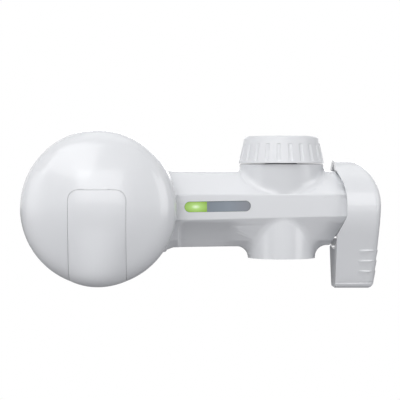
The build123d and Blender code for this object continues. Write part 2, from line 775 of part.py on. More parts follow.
# Cartridge: case, cap with its gallery, carbon block and seals
case_r = cup_bore_r - case_gap
cap_back_y = case_front_y + cap_length
case_back_y = cup_floor_y - 4.5
seal_places = (case_front_y + seal_inset, cap_back_y - seal_inset / 2)
with BuildPart() as cartridge_case:
    add(disc_along_y(case_r, cap_back_y, case_back_y))
    add(disc_along_y(case_r - case_wall, cap_back_y, case_back_y - case_wall), mode=Mode.SUBTRACT)
    with BuildSketch(Plane(origin=(filter_x, case_back_y, filter_z), x_dir=(1, 0, 0), z_dir=(0, 1, 0))):
        with PolarLocations(case_r * 0.7, 8):
            Circle(2.5)
    extrude(amount=-2 * case_wall, mode=Mode.SUBTRACT)

with BuildPart() as cartridge_cap:
    add(disc_along_y(case_r, case_front_y, cap_back_y))
    add(disc_along_y(cap_bore_r, nozzle_y - gallery_width / 2, cap_back_y), mode=Mode.SUBTRACT)
    with BuildSketch(cup_plane):
        with Locations((case_r, nozzle_y)):
            Rectangle(2 * (case_r - cap_core_r), gallery_width)
        for seal_y in seal_places:
            with Locations((case_r, seal_y)):
                Rectangle(2 * seal_groove, seal_groove + seal_groove_play)
    revolve(axis=cup_axis, mode=Mode.SUBTRACT)
    with BuildSketch(cup_plane.offset(-case_r)):
        with Locations((0, nozzle_y)):
            Circle(gallery_hole_r)
    extrude(amount=2 * case_r, mode=Mode.SUBTRACT)

with BuildPart() as cartridge_seals:
    for seal_y in seal_places:
        with BuildSketch(cup_plane):
            with Locations((cup_bore_r - part_gap - seal_groove / 2, seal_y)):
                Circle(seal_groove / 2)
        revolve(axis=cup_axis)

with BuildPart() as carbon_block:
    add(disc_along_y(carbon_r, cap_back_y + part_gap, case_back_y - case_wall - carbon_margin))
    add(
        disc_along_y(carbon_bore_r, cap_back_y + part_gap, case_back_y - case_wall - carbon_margin),
        mode=Mode.SUBTRACT
    )

# Lever, with the round socket and the notch that take the arm's end
socket_floor_x = arm_end_x + lever_socket_gap
with BuildPart() as handle:
    add(lever_form())
    add(disc_along_x(lever_socket_r, lever_left_x - 1, socket_floor_x), mode=Mode.SUBTRACT)
    notch_x = arm_end_x - notch_inset
    with BuildSketch(Plane.XZ.offset(-lever_half_depth - 1)) as notch_face:
        with Locations((lever_left_x - 1, arm_z)):
            Rectangle(notch_x - lever_left_x + 1, 2 * end_round_top[1], align=(Align.MIN, Align.CENTER))
    notch = extrude(notch_face.sketch, amount=2 * lever_half_depth + 2, mode=Mode.PRIVATE)
    add(notch - end_outline(-notch_inset), mode=Mode.SUBTRACT)
    with BuildSketch(Plane.YZ.offset(socket_floor_x)):
        with Locations((0, arm_z)):
            Rectangle(shaft_square + 2 * part_gap, shaft_square + 2 * part_gap)
    extrude(amount=shaft_reach + part_gap - socket_floor_x, mode=Mode.SUBTRACT)
    add(disc_along_x(lever_screw_r + part_gap, shaft_reach, head_seat_x), mode=Mode.SUBTRACT)
    add(disc_along_x(lever_cap_r, head_seat_x, lever_right_x), mode=Mode.SUBTRACT)

with BuildPart() as handle_screw:
    add(disc_along_x(lever_screw_r - 2 * part_gap, arm_end_x - 4, head_seat_x))
    add(disc_along_x(lever_screw_head_r, head_seat_x, head_seat_x + lever_screw_head_t))

with BuildPart() as handle_cap:
    add(disc_along_x(lever_cap_r - part_gap, cap_foot_x, cap_foot_x + lever_cap_t))

pieces = {
    "mounting_collar": mounting_collar,
    "inlet_stem": inlet_stem,
    "inlet_screen": inlet_screen,
    "inlet_washer": inlet_washer,
    "arm_shell": arm_shell,
    "arm_back_cover": arm_back_cover,
    "back_cover_screws": back_cover_screws,
    "green_lens": green_lens,
    "indicator_window": indicator_window,
    "circuit_board": circuit_board,
    "indicator_lamps": indicator_lamps,
    "coin_battery": coin_battery,
    "battery_clip": battery_clip,
    "feed_tube": feed_tube,
    "valve_sleeve": valve_sleeve,
    "diverter_spool": diverter_spool,
    "spool_o_rings": spool_o_rings,
    "valve_end_cap": valve_end_cap,
    "outlet_insert": outlet_insert,
    "outlet_screen": outlet_screen,
    "filter_housing": filter_housing,
    "housing_seal": housing_seal,
    "rim_gasket": rim_gasket,
    "filter_cover": filter_cover,
    "cover_panel": cover_panel,
    "outlet_nozzle": outlet_nozzle,
    "cartridge_case": cartridge_case,
    "cartridge_cap": cartridge_cap,
    "cartridge_seals": cartridge_seals,
    "carbon_block": carbon_block,
    "handle": handle,
    "handle_screw": handle_screw,
    "handle_cap": handle_cap,
}
for name, piece in pieces.items():
    piece.part.label = name
    export_step(piece.part, f"parts/{name}.step")
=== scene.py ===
# %% [markdown]
# # A faucet mount water filter
# The solid model comes in as a fixed frame: every piece already has its size and its place.
# Here the pieces get their soft edges, their fine detail and their finishes, and then a plain
# studio is set up around them. The frame is in metres, +X runs to the lever and -Y faces the user.
# Sizes are written in millimetres and multiplied by `mm`.

# %% Load the frame
import json
import math

import bpy
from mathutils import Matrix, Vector

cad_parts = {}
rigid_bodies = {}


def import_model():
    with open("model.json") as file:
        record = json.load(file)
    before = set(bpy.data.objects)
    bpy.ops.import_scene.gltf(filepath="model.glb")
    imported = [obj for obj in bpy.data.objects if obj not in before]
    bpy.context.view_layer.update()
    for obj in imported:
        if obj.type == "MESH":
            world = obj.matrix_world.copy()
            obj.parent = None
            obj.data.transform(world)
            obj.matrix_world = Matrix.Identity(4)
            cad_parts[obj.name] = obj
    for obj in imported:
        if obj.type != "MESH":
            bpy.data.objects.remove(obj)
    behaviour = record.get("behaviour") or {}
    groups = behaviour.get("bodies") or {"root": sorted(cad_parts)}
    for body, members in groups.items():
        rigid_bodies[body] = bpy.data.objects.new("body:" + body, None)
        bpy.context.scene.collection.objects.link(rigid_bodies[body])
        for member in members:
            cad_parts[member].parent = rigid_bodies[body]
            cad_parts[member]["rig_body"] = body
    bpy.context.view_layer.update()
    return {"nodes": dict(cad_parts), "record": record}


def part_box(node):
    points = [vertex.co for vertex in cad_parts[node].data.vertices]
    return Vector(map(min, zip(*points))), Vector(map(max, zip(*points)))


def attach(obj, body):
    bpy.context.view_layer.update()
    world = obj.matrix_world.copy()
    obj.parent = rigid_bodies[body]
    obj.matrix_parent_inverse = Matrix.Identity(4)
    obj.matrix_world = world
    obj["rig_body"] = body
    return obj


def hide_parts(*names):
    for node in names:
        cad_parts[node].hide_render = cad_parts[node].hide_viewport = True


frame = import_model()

mm = 0.001
nodes = frame["nodes"]
slot_of = {entry["node"]: entry["material_slot"] for entry in frame["record"]["subparts"]}
bpy.ops.object.select_all(action="DESELECT")
print("pieces in the frame:", len(nodes))

# %% [markdown]
# ## Helpers for working by hand
# Most operators act on whatever is selected, so each step starts by selecting one piece alone.
# `pick` then selects the vertices that pass a test on their place, as a box select would. Places
# are a safer choice than vertex numbers, because they stay right when a solid gets a new mesh.


# %% Select one piece, and pick its vertices
def only(piece):
    """Selects one piece and makes it active."""
    bpy.ops.object.select_all(action="DESELECT")
    piece.select_set(True)
    bpy.context.view_layer.objects.active = piece


def pick(piece, test):
    """Goes into edit mode with the vertices selected whose place passes the test."""
    only(piece)
    for face in piece.data.polygons:
        face.select = False
    for edge in piece.data.edges:
        edge.select = False
    for vertex in piece.data.vertices:
        vertex.select = test(vertex.co)
    bpy.ops.object.mode_set(mode="EDIT")
    bpy.ops.mesh.select_mode(type="VERT")


# %% Finish a mesh, and apply a modifier
def done(piece, angle=30):
    """Merges doubles, turns all faces outwards and shades the piece smooth up to an angle."""
    only(piece)
    bpy.ops.object.mode_set(mode="EDIT")
    bpy.ops.mesh.select_all(action="SELECT")
    bpy.ops.mesh.remove_doubles(threshold=0.002 * mm)
    bpy.ops.mesh.normals_make_consistent(inside=False)
    bpy.ops.object.mode_set(mode="OBJECT")
    bpy.ops.object.shade_smooth_by_angle(angle=math.radians(angle))
    return piece


def apply(piece, kind, **settings):
    """Adds one modifier with its settings and applies it."""
    only(piece)
    modifier = piece.modifiers.new(kind.lower(), kind)
    for setting, value in settings.items():
        setattr(modifier, setting, value)
    bpy.ops.object.modifier_apply(modifier=modifier.name)
    return piece


# %% [markdown]
# ## Copies of the solids with soft edges
# A moulded part never has a knife edge. The edges could be rounded in the solids, but a round of a
# tenth of a millimetre only matters to the eye, so it is made here. A solid's mesh is loose
# triangles: a copy is merged into one skin first. Then its sharp edges get a narrow bevel, and the
# copy stands for the solid.


# %% Copy a solid
def skin_of(name):
    """A merged copy of one node, which moves with the node's body and is shown in its place."""
    source = nodes[name]
    piece = bpy.data.objects.new(name + "_skin", source.data.copy())
    bpy.context.scene.collection.objects.link(piece)
    done(piece)
    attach(piece, source["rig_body"])
    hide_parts(name)
    return piece


# %% Soften a copy
sharp_turn = math.radians(30)


def softened(piece, edge):
    """Rounds the sharp edges by a width in millimetres, and lets the large faces shade flat."""
    if edge > 0:
        apply(piece, "BEVEL", width=edge * mm, segments=2, limit_method="ANGLE", angle_limit=sharp_turn)
        only(piece)
        bpy.ops.object.shade_smooth_by_angle(angle=sharp_turn)
    return apply(piece, "WEIGHTED_NORMAL", keep_sharp=True, weight=80)


# %% [markdown]
# ## A small language for finishes
# A procedural finish is a sum of noises, masks and ramps. With Python's own operators on the
# sockets, such a sum reads like a formula: `noise * 0.1 + 0.2` adds its two Math nodes itself.


# %% Numbers that flow between nodes
class Number:
    """One socket of a finish, with the operators of ordinary numbers."""

    def __init__(self, finish, socket):
        self.finish = finish
        self.socket = socket

    def joined(self, operation, other):
        """A Math node that joins this number with another one, or with a plain value."""
        made = self.finish.node("ShaderNodeMath", {"operation": operation}, {0: self, 1: other})
        return Number(self.finish, made.outputs[0])

    def __add__(self, other):
        return self.joined("ADD", other)

    def __sub__(self, other):
        return self.joined("SUBTRACT", other)

    def __mul__(self, other):
        return self.joined("MULTIPLY", other)

    def __pow__(self, other):
        return self.joined("POWER", other)

    def __gt__(self, other):
        return self.joined("GREATER_THAN", other)


# %% A finish and its one way of making nodes
class Finish:
    """A named material around one Principled shader."""

    def __init__(self, name, **fixed):
        self.material = bpy.data.materials.new(name)
        self.material.use_nodes = True
        self.tree = self.material.node_tree
        self.shader = self.tree.nodes["Principled BSDF"]
        for socket, value in fixed.items():
            self.shader.inputs[socket.replace("_", " ")].default_value = value
        place = self.node("ShaderNodeTexCoord").outputs["Object"]
        self.place = Number(self, place)
        parts = self.node("ShaderNodeSeparateXYZ", {}, {"Vector": self.place})
        self.x, self.y, self.z = [Number(self, parts.outputs[axis]) for axis in "XYZ"]

    def node(self, kind, settings=None, sockets=None):
        """Adds a node, sets it up, and then fills its sockets with values or links."""
        made = self.tree.nodes.new(kind)
        for setting, value in (settings or {}).items():
            if setting == "stops":
                ramp = made.color_ramp
                while len(ramp.elements) < len(value):
                    ramp.elements.new(0.5)
                for element, (spot, colour) in zip(ramp.elements, value):
                    element.position = spot
                    element.color = (*colour, 1)
            else:
                setattr(made, setting, value)
        for socket, value in (sockets or {}).items():
            if isinstance(value, Number):
                self.tree.links.new(value.socket, made.inputs[socket])
            else:
                made.inputs[socket].default_value = value
        return made

    def noise(self, scale, detail=2.0):
        """Smooth noise between 0 and 1, with its scale in lumps to the metre."""
        made = self.node("ShaderNodeTexNoise", {}, {"Vector": self.place, "Scale": scale, "Detail": detail})
        return Number(self, made.outputs["Fac"])

    def mix(self, amount, first, second):
        """A colour between two colours."""
        ends = {0: amount, 6: (*first, 1), 7: (*second, 1)}
        made = self.node("ShaderNodeMix", {"data_type": "RGBA"}, ends)
        return Number(self, made.outputs[2])

    def ramp(self, amount, stops):
        """A colour from a row of colour stops."""
        made = self.node("ShaderNodeValToRGB", {"stops": stops}, {"Fac": amount})
        return Number(self, made.outputs["Color"])

    def give(self, socket, value):
        """Links a number or a colour to one of the shader's own sockets."""
        self.tree.links.new(value.socket, self.shader.inputs[socket])

    def bump(self, height, distance):
        """Raises the surface by a height that is given between 0 and 1."""
        made = self.node("ShaderNodeBump", {}, {"Height": height, "Distance": distance, "Strength": 1.0})
        self.tree.links.new(made.outputs["Normal"], self.shader.inputs["Normal"])

    def put_on(self, *pieces):
        """Makes this the only material of each piece."""
        for piece in pieces:
            piece.data.materials.clear()
            piece.data.materials.append(self.material)


# %% [markdown]
# ## Moulded plastics
# The shell is a hard white plastic with a slight blue cast. It comes polished from the mould, so
# what it shows is mostly the studio. One even white would look like paint. A faint waviness in the
# skin and in its gloss keeps the reflections alive. The collar is satin, and the pieces inside are
# plain and a little greyer.


# %% White plastic, glossy and satin
def moulded(name, colour, gloss, coat=0.0):
    """A moulded plastic whose gloss is its roughness."""
    finish = Finish(name, IOR=1.5, Coat_Roughness=0.08)
    cloud = finish.noise(60)
    grain = finish.noise(2200, 3)
    darker = [0.97 * part for part in colour]
    finish.give("Base Color", finish.mix(cloud, darker, colour))
    finish.give("Roughness", cloud * 0.04 + grain * 0.03 + (gloss - 0.035))
    finish.bump(finish.noise(140, 1) * 0.5 + grain * 0.02, 0.02 * mm)
    finish.shader.inputs["Coat Weight"].default_value = coat
    return finish


white = (0.80, 0.81, 0.83)
shell_white = moulded("polished_white_shell", white, 0.24, coat=0.35)
collar_white = moulded("satin_white_collar", white, 0.36)
inner_white = moulded("plain_moulded_inner", (0.62, 0.64, 0.65), 0.45)
cartridge_white = moulded("plain_cartridge_white", (0.7, 0.71, 0.69), 0.5)
print("nodes in the shell's finish:", len(shell_white.tree.nodes))

# %% [markdown]
# ## The indicator's window
# Its first third is lit green from behind, brightest where the lamp sits. The rest is a dark
# translucent strip, a little bluer near the lamp and greyer at its far end. Real light from a lamp
# inside would be slow and noisy at this size, so the glow is a ramp of colours round the lamp's
# place, and the lens gives off a little of that same colour.

# %% The lit lens
low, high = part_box("green_lens")
lamp = (low + high) / 2
glow_width, glow_height = 6.5 * mm, 3.2 * mm
lens_green = Finish("lit_green_lens", Roughness=0.15, Coat_Weight=0.5)
across = (lens_green.x - lamp.x) * (1 / glow_width)
up = (lens_green.z - lamp.z) * (1 / glow_height)
away = (across * across + up * up) ** 0.5
greens = [(0.0, (0.72, 0.85, 0.60)), (0.35, (0.38, 0.60, 0.16)), (1.0, (0.22, 0.40, 0.04))]
glow = lens_green.ramp(away, greens)
lens_green.give("Base Color", glow)
lens_green.give("Emission Color", glow)
lens_green.shader.inputs["Emission Strength"].default_value = 0.3
print("the lamp is at", [round(part / mm, 1) for part in lamp], "mm")

# %% The dark window
low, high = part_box("indicator_window")
window_grey = Finish("smoked_window", Roughness=0.22, Coat_Weight=0.6)
along = (window_grey.x - low.x) * (1 / (high.x - low.x))
greys = [(0.0, (0.20, 0.24, 0.28)), (0.5, (0.25, 0.29, 0.34)), (1.0, (0.25, 0.26, 0.29))]
window_grey.give("Base Color", window_grey.ramp(along, greys))
window_grey.give("Roughness", window_grey.noise(500) * 0.06 + 0.18)
print("the window is", round((high.x - low.x) / mm, 1), "mm long")

# %% [markdown]
# ## Rubber, metal, carbon and the little board
# These are seen from below, from behind, or only when a piece is taken off. Each still gets the
# grain that the real stuff has: two near colours mixed by a fine noise, and a roughness that
# varies a little. That is enough for them to look right close up, and costs next to nothing.

# %% Rubber
seal_rubber = Finish("black_seal_rubber")
soot = seal_rubber.mix(seal_rubber.noise(900), (0.012, 0.012, 0.013), (0.03, 0.03, 0.03))
seal_rubber.give("Base Color", soot)
seal_rubber.give("Roughness", seal_rubber.noise(1500) * 0.2 + 0.5)
gasket_grey = Finish("grey_rim_gasket")
slate = gasket_grey.mix(gasket_grey.noise(900), (0.24, 0.25, 0.26), (0.3, 0.31, 0.32))
gasket_grey.give("Base Color", slate)
gasket_grey.give("Roughness", gasket_grey.noise(1500) * 0.2 + 0.45)
print("rubbers:", seal_rubber.material.name, gasket_grey.material.name)

# %% Steel and brass
steel = Finish("drawn_steel", Metallic=1.0)
steel.give("Base Color", steel.mix(steel.noise(3000), (0.5, 0.51, 0.52), (0.62, 0.63, 0.64)))
steel.give("Roughness", steel.noise(2500, 4) * 0.2 + 0.22)
brass = Finish("turned_brass", Metallic=1.0)
brass.give("Base Color", brass.mix(brass.noise(1200), (0.6, 0.43, 0.18), (0.72, 0.55, 0.26)))
brass.give("Roughness", brass.noise(2600, 4) * 0.18 + 0.2)
print("metals:", steel.material.name, brass.material.name)

# %% Carbon
charcoal = Finish("pressed_charcoal")
grit = charcoal.noise(1800, 4)
charcoal.give("Base Color", charcoal.mix(grit, (0.012, 0.012, 0.012), (0.05, 0.05, 0.05)))
charcoal.give("Roughness", grit * 0.2 + 0.75)
charcoal.bump(grit, 0.3 * mm)
print("carbon:", charcoal.material.name)

# %% The board and its lamps
board_green = Finish("green_board")
tracks = board_green.noise(700) > 0.52
board_green.give("Base Color", board_green.mix(tracks, (0.01, 0.12, 0.05), (0.02, 0.2, 0.08)))
board_green.give("Roughness", board_green.noise(900) * 0.1 + 0.3)
lamp_clear = Finish("clear_lamp", Coat_Weight=0.5)
lamp_clear.give("Base Color", lamp_clear.mix(lamp_clear.noise(800), (0.55, 0.7, 0.4), (0.7, 0.8, 0.55)))
lamp_clear.give("Roughness", lamp_clear.noise(900) * 0.1 + 0.12)
print("board and lamps:", board_green.material.name, lamp_clear.material.name)

# %% [markdown]
# ## Finishes on the solids
# The record names a material slot for each node, so the carried-over solids are dressed by slot.
# A piece that is added here later takes its finish from the same table.

# %% Dress every node
by_slot = {
    "white_plastic": shell_white,
    "collar_plastic": collar_white,
    "inner_plastic": inner_white,
    "cartridge_plastic": cartridge_white,
    "grey_window": window_grey,
    "green_window": lens_green,
    "board": board_green,
    "lamp": lamp_clear,
    "steel": steel,
    "brass": brass,
    "seal_rubber": seal_rubber,
    "gasket_grey": gasket_grey,
    "charcoal": charcoal,
}
for name, slot in slot_of.items():
    by_slot[slot].put_on(nodes[name])
print("dressed:", len(slot_of), "nodes in", len(by_slot), "finishes")

# %% [markdown]
# ## The lever's grip
# Low on its outer side the lever has three level ridges for the thumb, and a fine line sets off its
# foot. Ridges like these could be separate strips, but on the real lever they are one skin with it.
# So the lever's skin is cut into level bands, and the cut loops are pushed out or drawn in along
# their normals, as one would do by hand.


# %% Cut a piece along a plane, and push the cut loop
def sliced(piece, place, normal):
    """Cuts new edges round a piece along a plane, and takes nothing away."""
    only(piece)
    bpy.ops.object.mode_set(mode="EDIT")
    bpy.ops.mesh.select_all(action="SELECT")
    bpy.ops.mesh.bisect(plane_co=place, plane_no=normal)
    bpy.ops.object.mode_set(mode="OBJECT")


def pushed(piece, test, distance):
    """Moves the picked vertices along their normals, out of the piece if the distance is positive."""
    pick(piece, test)
    bpy.ops.transform.shrink_fatten(value=distance * mm)
    bpy.ops.object.mode_set(mode="OBJECT")


# %% Level and upright cuts
arm_level = -32.2


def level_cut(piece, rise):
    """Cuts a piece level at a rise above the arm's axis, and returns a test for the cut's vertices."""
    level = (arm_level + rise) * mm
    sliced(piece, (0, 0, level), (0, 0, 1))
    return lambda at: abs(at.z - level) < 0.004 * mm


def upright_cut(piece, along):
    """Cuts a piece upright, across the arm."""
    sliced(piece, (along * mm, 0, 0), (1, 0, 0))


# %% Three ridges, which rise from nothing at their inner ends
lever_skin = skin_of("handle")
grip_from_x = 38.0
ridge_profile = {0.6: 0.0, 0.35: 0.09, 0.12: 0.14, -0.12: 0.14, -0.35: 0.07, -0.5: 0.0}
for run_in in (-1, 0, 1.5, 4):
    upright_cut(lever_skin, grip_from_x + run_in)
for grip_rise in (-20.2, -25.4, -30.6):
    for offset, height in ridge_profile.items():
        on_cut = level_cut(lever_skin, grip_rise + offset)
        pushed(lever_skin, lambda at: on_cut(at) and at.x > (grip_from_x + 1) * mm, height)
        pushed(lever_skin, lambda at: on_cut(at) and abs(at.x - grip_from_x * mm) < 0.01 * mm, height / 2)
print("lever after the ridges:", len(lever_skin.data.polygons), "faces")

# %% A fine line above the lever's foot
line_rise, line_from_x = -36.3, 26.5
for offset, depth in ((0.3, 0.0), (0.15, -0.16), (-0.15, -0.16), (-0.3, 0.0)):
    on_cut = level_cut(lever_skin, line_rise + offset)
    pushed(lever_skin, lambda at: on_cut(at) and at.x > line_from_x * mm, depth)
print("lever after the line:", len(lever_skin.data.polygons), "faces")

# %% [markdown]
# ## The lever's slim outer side
# Seen from the front the lever's outer side is drawn in a little at the level of its pivot. The move
# grows with the distance from the arm's end and fades towards the foot. Everything that turns with
# the lever out there follows the same taper, so that it all still fits. Level cuts come first, so
# that the wide flat side can follow.


# %% Taper the lever and what sits in it
def drawn_in(piece):
    """Moves what lies beyond the arm's end towards the arm, most at the pivot and least at the foot."""
    start, reach, most = 31.4, 18.1, 2.2
    full_rise, fade = 2, 55
    for rise in (full_rise, -7, -10, -14, -18):
        level_cut(piece, rise)
    for vertex in piece.data.vertices:
        beyond = (vertex.co.x / mm - start) / reach
        rise = vertex.co.z / mm - arm_level
        share = min(1, 1 + (rise - full_rise) / fade)
        if beyond > 0:
            vertex.co.x -= most * share * beyond * mm
    return piece


drawn_in(lever_skin)
only(lever_skin)
bpy.ops.object.shade_smooth_by_angle(angle=sharp_turn)
turning = {name: drawn_in(skin_of(name)) for name in ("handle_cap", "handle_screw", "diverter_spool")}
print("lever reaches", round(max(vertex.co.x for vertex in lever_skin.data.vertices) / mm, 1), "mm")

# %% [markdown]
# ## The arm's lower front
# The long facet under the front band leans well back, so it lies in its own shade. Near the filter it
# ends at a narrow strip, in a rounded corner. New edges are cut across the arm first, and the facet's
# lower vertices are then drawn back, but not where the skirt stands out. A function of place says
# how far, so the strip, the corner and the skirt's side all fade into each other.

# %% Cut the arm where the lean begins and ends
arm_skin = skin_of("arm_shell")
for along in (-52, -51.4, -50.9, -50.4, -49.8, -49.1, -48.3, -47.3, -46.2, -30, -26, -22, 20, 23, 26):
    upright_cut(arm_skin, along)
for rise in (-6.4, -6.9, -7.5, -8.2, -9, -10, -11.4, -13):
    level_cut(arm_skin, rise)
print("arm after the cuts:", len(arm_skin.data.polygons), "faces")

# %% Lean the lower front facet back
most_lean = 0.42
facet_top, facet_drop = -5.9, 9.5
strip_edge, corner_r = -51.6, 5.5
skirt_side, skirt_fade = 20, 7


def between(value):
    """A value kept between 0 and 1."""
    return min(1, max(0, value))


def lean(at):
    """How far the facet is drawn back at a place, between 0 and 1."""
    below = facet_top - (at.z / mm - arm_level)
    into = max(0, corner_r - max(0, below))
    edge = strip_edge + corner_r - math.sqrt(corner_r**2 - into**2)
    past_strip = between(at.x / mm - edge)
    past_skirt = between((abs(at.x) / mm - skirt_side) / skirt_fade)
    return between(below / facet_drop) * past_strip * past_skirt


for vertex in arm_skin.data.vertices:
    if vertex.co.y < 0:
        vertex.co.y *= 1 - most_lean * lean(vertex.co)
print("vertices drawn back:", sum(lean(vertex.co) > 0 for vertex in arm_skin.data.vertices))

# %% [markdown]
# ## The tongue's lip
# Towards its lower end the tongue swells forward into a lip that hides the outlet behind it. Its sides
# stay level with the round cover. The panel is cut into a fine net first, so that it can swell evenly.

# %% Swell the tongue's lower end
tongue = skin_of("cover_panel")
low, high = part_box("cover_panel")
tongue_x, half_width = (low.x + high.x) / 2, (high.x - low.x) / 2
net = 2 * mm
for step in range(-6, 7):
    sliced(tongue, (tongue_x + step * net, 0, 0), (1, 0, 0))
for step in range(1, 18):
    sliced(tongue, (0, 0, low.z + step * net), (0, 0, 1))
lip_top, lip_height, lip_out = high.z - 16 * mm, 30 * mm, 5.5 * mm
for vertex in tongue.data.vertices:
    down = between((lip_top - vertex.co.z) / lip_height)
    middle_share = max(0, 1 - ((vertex.co.x - tongue_x) / half_width) ** 2)
    vertex.co.y -= lip_out * down * down * (3 - 2 * down) * middle_share
print("tongue:", len(tongue.data.polygons), "faces")

# %% [markdown]
# ## The neck's fairing
# Under the collar the neck flows into the arm's upper facets without a crease. A fillet of that kind
# is easiest to get from one closed skin: a bar and a drum are joined, the Remesh modifier wraps them
# in an even skin, and only the hollow corner between them is smoothed. The bar lies a hair below the
# arm's own surface, so that the fairing shows only where it rises above the arm.

# %% Where the arm's upper facets lie
arm_top, arm_half_depth, facet_foot = 18.65, 17.2, 7.4
facet_out, facet_up = 0.7408, 0.6716


def above_arm(at):
    """How far a place lies above the arm's top and upper facets, in millimetres."""
    rise = at.z / mm - arm_level
    return max(rise - arm_top, (abs(at.y) / mm - arm_half_depth) * facet_out + (rise - facet_foot) * facet_up)


# %% The arm's own neck steps back
def on_neck(at):
    """True on the outer skin of the neck and of its blend into the arm."""
    across = math.hypot(at.x, at.y) / mm
    return 13.2 < across < 26 and at.z > (arm_level + facet_foot + 0.5) * mm and above_arm(at) > 0.03


pick(arm_skin, on_neck)
bpy.ops.transform.resize(value=(0.7, 0.7, 1), center_override=(0, 0, 0))
bpy.ops.transform.translate(value=(0, 0, -0.8 * mm))
bpy.ops.object.mode_set(mode="OBJECT")
print("neck vertices moved in:", sum(vertex.select for vertex in arm_skin.data.vertices))

# %% A bar like the arm, a hair smaller
inset = 0.05
bar_half = arm_half_depth - inset
low_rise, top_rise = -3.0, arm_top - inset
bpy.ops.object.select_all(action="DESELECT")
bpy.ops.mesh.primitive_cube_add(size=1)
bar = bpy.context.object
bpy.ops.transform.resize(value=(66 * mm, 2 * bar_half * mm, (top_rise - low_rise) * mm))
bpy.ops.transform.translate(value=(0, 0, (arm_level + (top_rise + low_rise) / 2) * mm))
bpy.ops.object.transform_apply()
for side in (-1, 1):
    spot, outwards = (0, side * bar_half * mm, (arm_level + facet_foot) * mm), (0, side * facet_out, facet_up)
    bpy.ops.object.mode_set(mode="EDIT")
    bpy.ops.mesh.select_all(action="SELECT")
    bpy.ops.mesh.bisect(plane_co=spot, plane_no=outwards, use_fill=True, clear_outer=True)
    bpy.ops.object.mode_set(mode="OBJECT")
pick(bar, lambda at: at.z > (arm_level + top_rise - 0.05) * mm)
bpy.ops.mesh.select_mode(type="EDGE")
bpy.ops.mesh.bevel(offset=3.1 * mm, segments=6, affect="EDGES")
bpy.ops.object.mode_set(mode="OBJECT")
print("bar:", len(bar.data.polygons), "faces")

# %% A drum that narrows from front to back
drum_low, drum_top = 5.0, 22.15
neck_radius = 20.9
front_low, front_top = 16.85, 18.7
bpy.ops.object.select_all(action="DESELECT")
middle = (arm_level + (drum_low + drum_top) / 2) * mm
bpy.ops.mesh.primitive_cylinder_add(
    vertices=128, radius=neck_radius * mm, depth=(drum_top - drum_low) * mm, location=(0, 0, middle)
)
drum = bpy.context.object
bpy.ops.object.transform_apply(location=True)
for test, depth in ((lambda at: at.z < middle, front_low), (lambda at: at.z > middle, front_top)):
    pick(drum, test)
    bpy.ops.transform.resize(value=(1, depth / neck_radius, 1), center_override=(0, 0, middle))
    bpy.ops.object.mode_set(mode="OBJECT")
print("drum:", len(drum.data.polygons), "faces")

# %% One skin over both
bpy.ops.object.select_all(action="DESELECT")
bar.select_set(True)
drum.select_set(True)
bpy.context.view_layer.objects.active = drum
bpy.ops.object.join()
fairing = bpy.context.object
fairing.name = "neck_fairing"
apply(fairing, "REMESH", mode="VOXEL", voxel_size=0.4 * mm)
print("fairing after the remesh:", len(fairing.data.polygons), "faces")

# %% Smooth the hollow corner between drum and bar
mean_radius = 19
corner_reach = 4.5


def corner_share(at):
    """1 in the hollow corner between drum and bar, falling to 0 some millimetres away from it."""
    rise = at.z / mm - arm_level
    deep = front_low + (front_top - front_low) * (rise - drum_low) / (drum_top - drum_low)
    off_drum = abs(math.hypot(at.x / mm / neck_radius, at.y / mm / deep) - 1) * mean_radius
    near = 1 - max(off_drum, abs(above_arm(at))) / corner_reach
    ends = min(1, (rise - 7.2) / 1.5, (21.4 - rise) / 0.8)
    return between(2 * near) * max(0, ends)


corner = fairing.vertex_groups.new(name="corner")
for vertex in fairing.data.vertices:
    corner.add([vertex.index], corner_share(vertex.co), "REPLACE")
apply(fairing, "SMOOTH", factor=0.5, iterations=4)
apply(fairing, "SMOOTH", factor=0.5, iterations=160, vertex_group="corner")
print("smoothed vertices:", sum(corner_share(vertex.co) > 0 for vertex in fairing.data.vertices))


# %% Keep the part that shows
def cut_away(piece, test):
    """Deletes the vertices whose place passes the test."""
    pick(piece, test)
    bpy.ops.mesh.delete(type="VERT")
    bpy.ops.object.mode_set(mode="OBJECT")


cut_away(fairing, lambda at: at.z < (arm_level + 7.0) * mm or abs(at.x) > 29.5 * mm)
cut_away(fairing, lambda at: at.z > (arm_level + 21.9) * mm and math.hypot(at.x, at.y) < 15 * mm)
fairing.vertex_groups.clear()
print("fairing that shows:", len(fairing.data.polygons), "faces")

# %% Give the fairing its wall
only(fairing)
bpy.ops.object.mode_set(mode="EDIT")
bpy.ops.mesh.select_all(action="SELECT")
bpy.ops.mesh.normals_make_consistent(inside=False)
bpy.ops.object.mode_set(mode="OBJECT")
apply(fairing, "SOLIDIFY", thickness=0.6 * mm, offset=-1)
done(fairing, 35)
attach(fairing, "main")
shell_white.put_on(fairing)
print("fairing with its wall:", len(fairing.data.polygons), "faces")

# %% [markdown]
# ## The thread inside the collar
# The collar screws on with a fine internal thread. A thread could be a bump in the finish, but then
# it would not be in the mesh. So a small diamond is wound up a helix by the Screw modifier. Its outer
# side sinks into the collar's wall, so that no gap shows.

